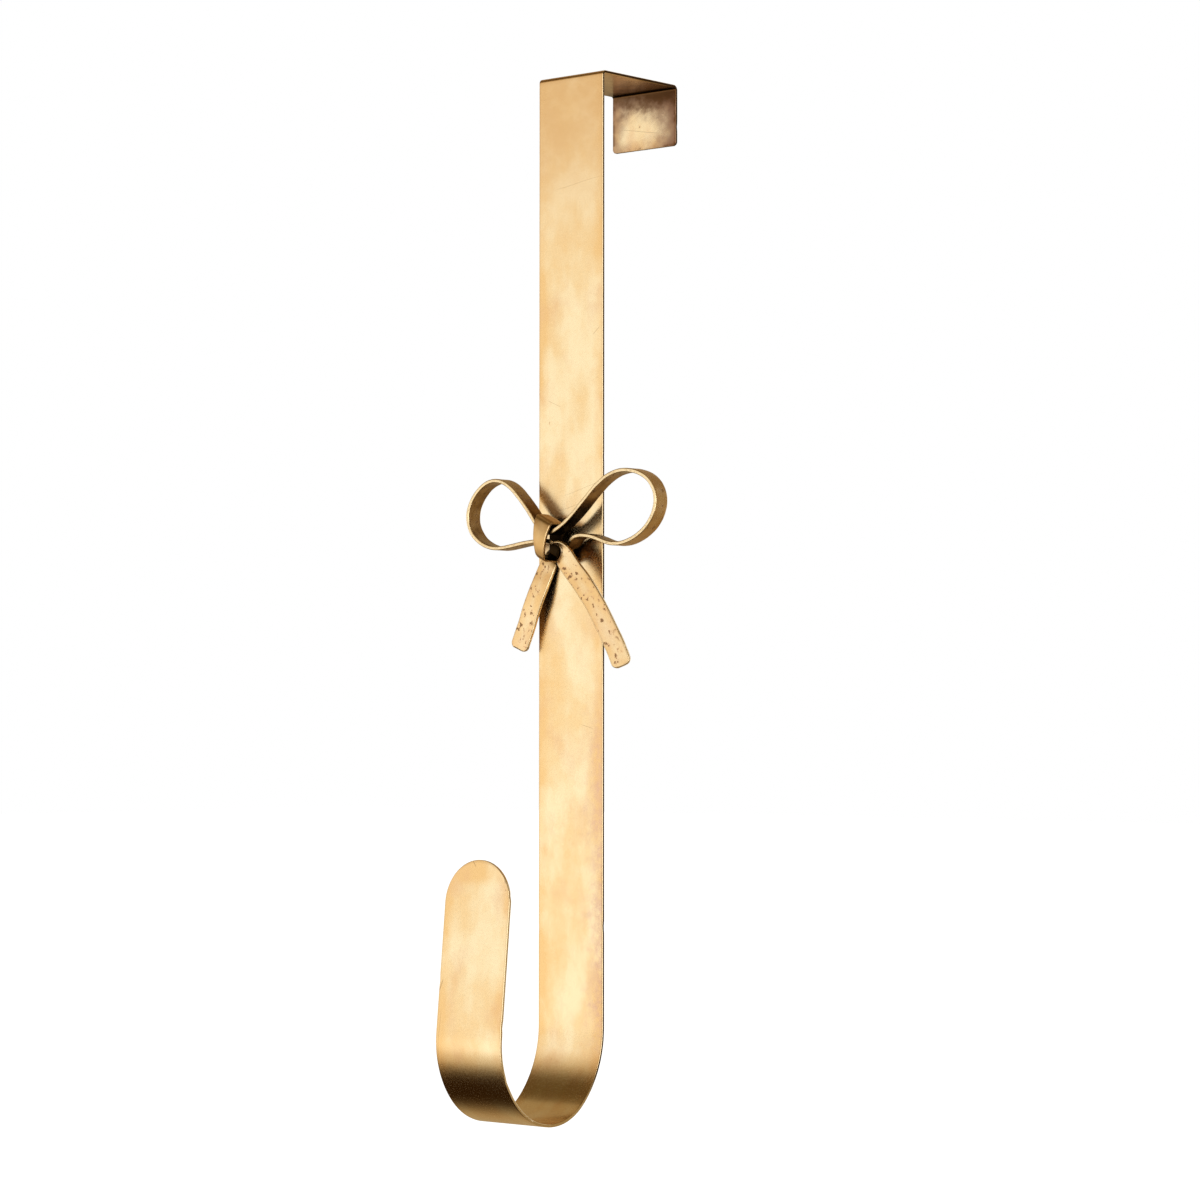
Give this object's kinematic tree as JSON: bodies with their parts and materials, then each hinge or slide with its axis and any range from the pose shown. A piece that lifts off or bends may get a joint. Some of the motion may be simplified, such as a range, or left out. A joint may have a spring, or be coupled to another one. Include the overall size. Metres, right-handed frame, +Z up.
{
  "type": "wreath hanger",
  "caption": "Over-the-door strip folded over the door's top to a short lip, with a ribbon bow on its front and an upturned J hook at its foot that holds a wreath.",
  "frame": {"origin": "middle of the underside of the top, where the hanger sits on the top edge of the door", "axes": "+Z up, +Y from the front of the door, where the wreath hangs, to its back, +X across the strip, to the right for someone who faces the door"},
  "size_m": [0.1041, 0.1104, 0.4314],
  "materials": {
    "strip_brass": "satin antique brass with lengthwise brushing, fine scratches and brown tarnish",
    "ribbon_brass": "satin antique brass, hammered edges, small brown pits",
    "band_brass": "satin antique brass, brown in the hollow",
    "braze_metal": "dull braze metal"
  },
  "bodies": {
    "root": {"hanger_strip": "strip_brass", "bow_ribbon": "ribbon_brass", "knot_band": "band_brass", "braze_joint": "braze_metal"}
  },
  "joints": []
}
